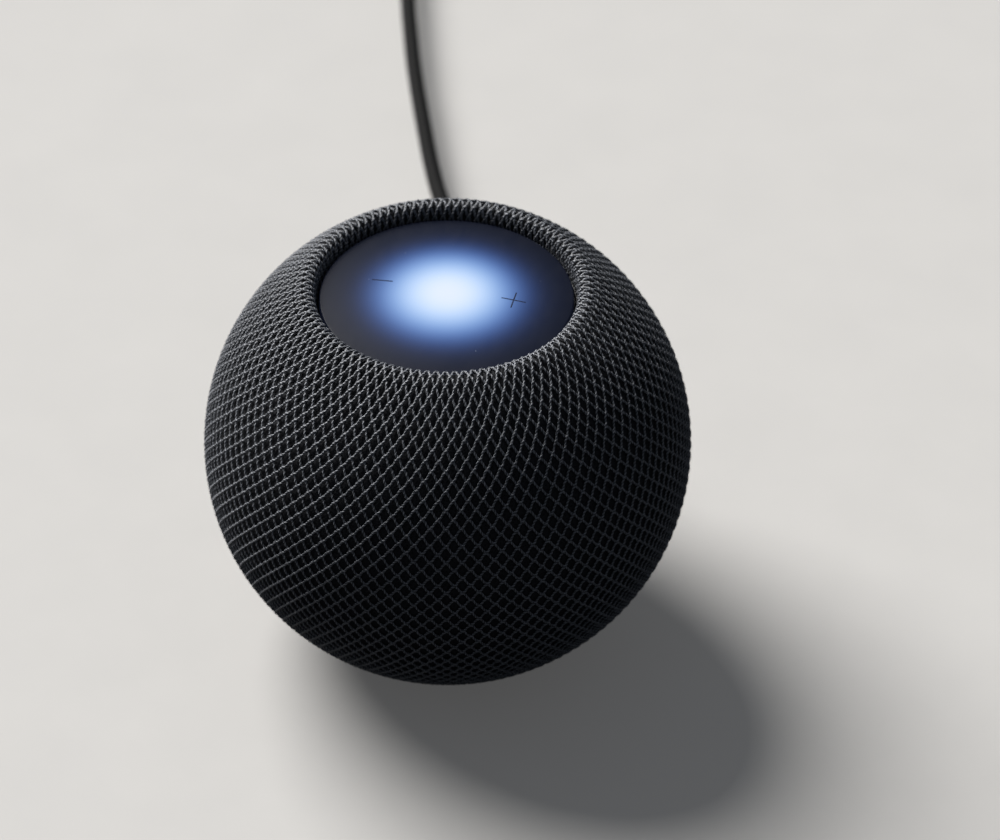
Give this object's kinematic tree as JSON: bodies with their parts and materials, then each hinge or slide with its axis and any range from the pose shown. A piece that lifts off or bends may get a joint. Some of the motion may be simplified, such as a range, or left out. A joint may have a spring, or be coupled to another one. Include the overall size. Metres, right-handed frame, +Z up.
{
  "type": "smart home hub",
  "caption": "Ball-shaped smart home speaker with a knitted cover, a glowing touch top, a downward driver, side radiators and a fixed cable.",
  "frame": {"origin": "centre of the foot's underside, on the table", "axes": "+Z up through the touch top; -Y is the front; the plus mark is on +X; the cable leaves at +Y"},
  "size_m": [0.1248, 0.3009, 0.0842],
  "materials": {
    "aluminium": "plain",
    "black_plastic": "fine grain",
    "board": "solder mask",
    "chip": "matte",
    "cone_paper": "pressed paper pulp",
    "copper": "enamelled wire",
    "cord": "twisted",
    "diffuser": "milky",
    "ferrite": "sintered",
    "film": "satin",
    "foam": "matte",
    "grey_plastic": "fine grain",
    "knit": "knitted",
    "led": "satin",
    "lens": "polished",
    "polyimide": "satin",
    "rubber": "matte",
    "screw": "black oxide",
    "silicone": "matte",
    "spider_cloth": "woven, stiffened",
    "steel": "plated",
    "tin": "tinned"
  },
  "bodies": {
    "hub": {"back_plate": "steel", "base_plate": "grey_plastic", "base_screw_1": "screw", "base_screw_2": "screw", "base_screw_3": "screw", "cable_strain_relief": "rubber", "climate_sensor": "chip", "cone_surround": "rubber", "cover_clamp_ring": "black_plastic", "cover_drawstring": "cord", "driver_basket": "black_plastic", "driver_gasket": "foam", "driver_magnet": "ferrite", "driver_screw_1": "screw", "driver_screw_2": "screw", "driver_screw_3": "screw", "foot_pad": "silicone", "front_plate": "steel", "heat_spreader": "aluminium", "housing_seal": "rubber", "knit_cover": "knit", "led_1": "led", "led_2": "led", "led_3": "led", "led_4": "led", "led_5": "led", "led_board": "board", "lens_gasket": "foam", "light_baffle": "black_plastic", "light_diffuser": "diffuser", "lower_housing": "grey_plastic", "main_board": "board", "microphone_1": "tin", "microphone_2": "tin", "microphone_3": "tin", "microphone_4": "tin", "plug_body": "black_plastic", "plug_shell": "steel", "power_cable": "rubber", "processor_shield": "tin", "radiator_frame_left": "black_plastic", "radiator_frame_right": "black_plastic", "radiator_surround_left": "rubber", "radiator_surround_right": "rubber", "ribbon_cable": "polyimide", "spider": "spider_cloth", "touch_lens": "lens", "touch_sensor": "film", "upper_housing": "grey_plastic", "waveguide": "black_plastic"},
    "cone": {"driver_cone": "cone_paper", "dust_cap": "cone_paper", "voice_coil": "copper"},
    "left_radiator": {"radiator_plate_left": "aluminium"},
    "right_radiator": {"radiator_plate_right": "aluminium"}
  },
  "joints": [
    {"name": "cone_travel", "type": "slide", "parent": "hub", "child": "cone", "axis": [0, 0, 1], "range_m": [-0.0015, 0.0015], "stiffness_N_per_m": 900, "deforming": ["cone_surround", "spider"]},
    {"name": "right_radiator_travel", "type": "slide", "parent": "hub", "child": "right_radiator", "axis": [1, 0, 0], "range_m": [-0.0018, 0.0018], "deforming": ["radiator_surround_right"]},
    {"name": "left_radiator_travel", "type": "slide", "parent": "hub", "child": "left_radiator", "axis": [-1, 0, 0], "range_m": [-0.0018, 0.0018], "deforming": ["radiator_surround_left"]}
  ],
  "couplings": [
    {"joint": "right_radiator_travel", "follows": "cone_travel", "ratio": 1.184},
    {"joint": "left_radiator_travel", "follows": "cone_travel", "ratio": 1.184}
  ]
}
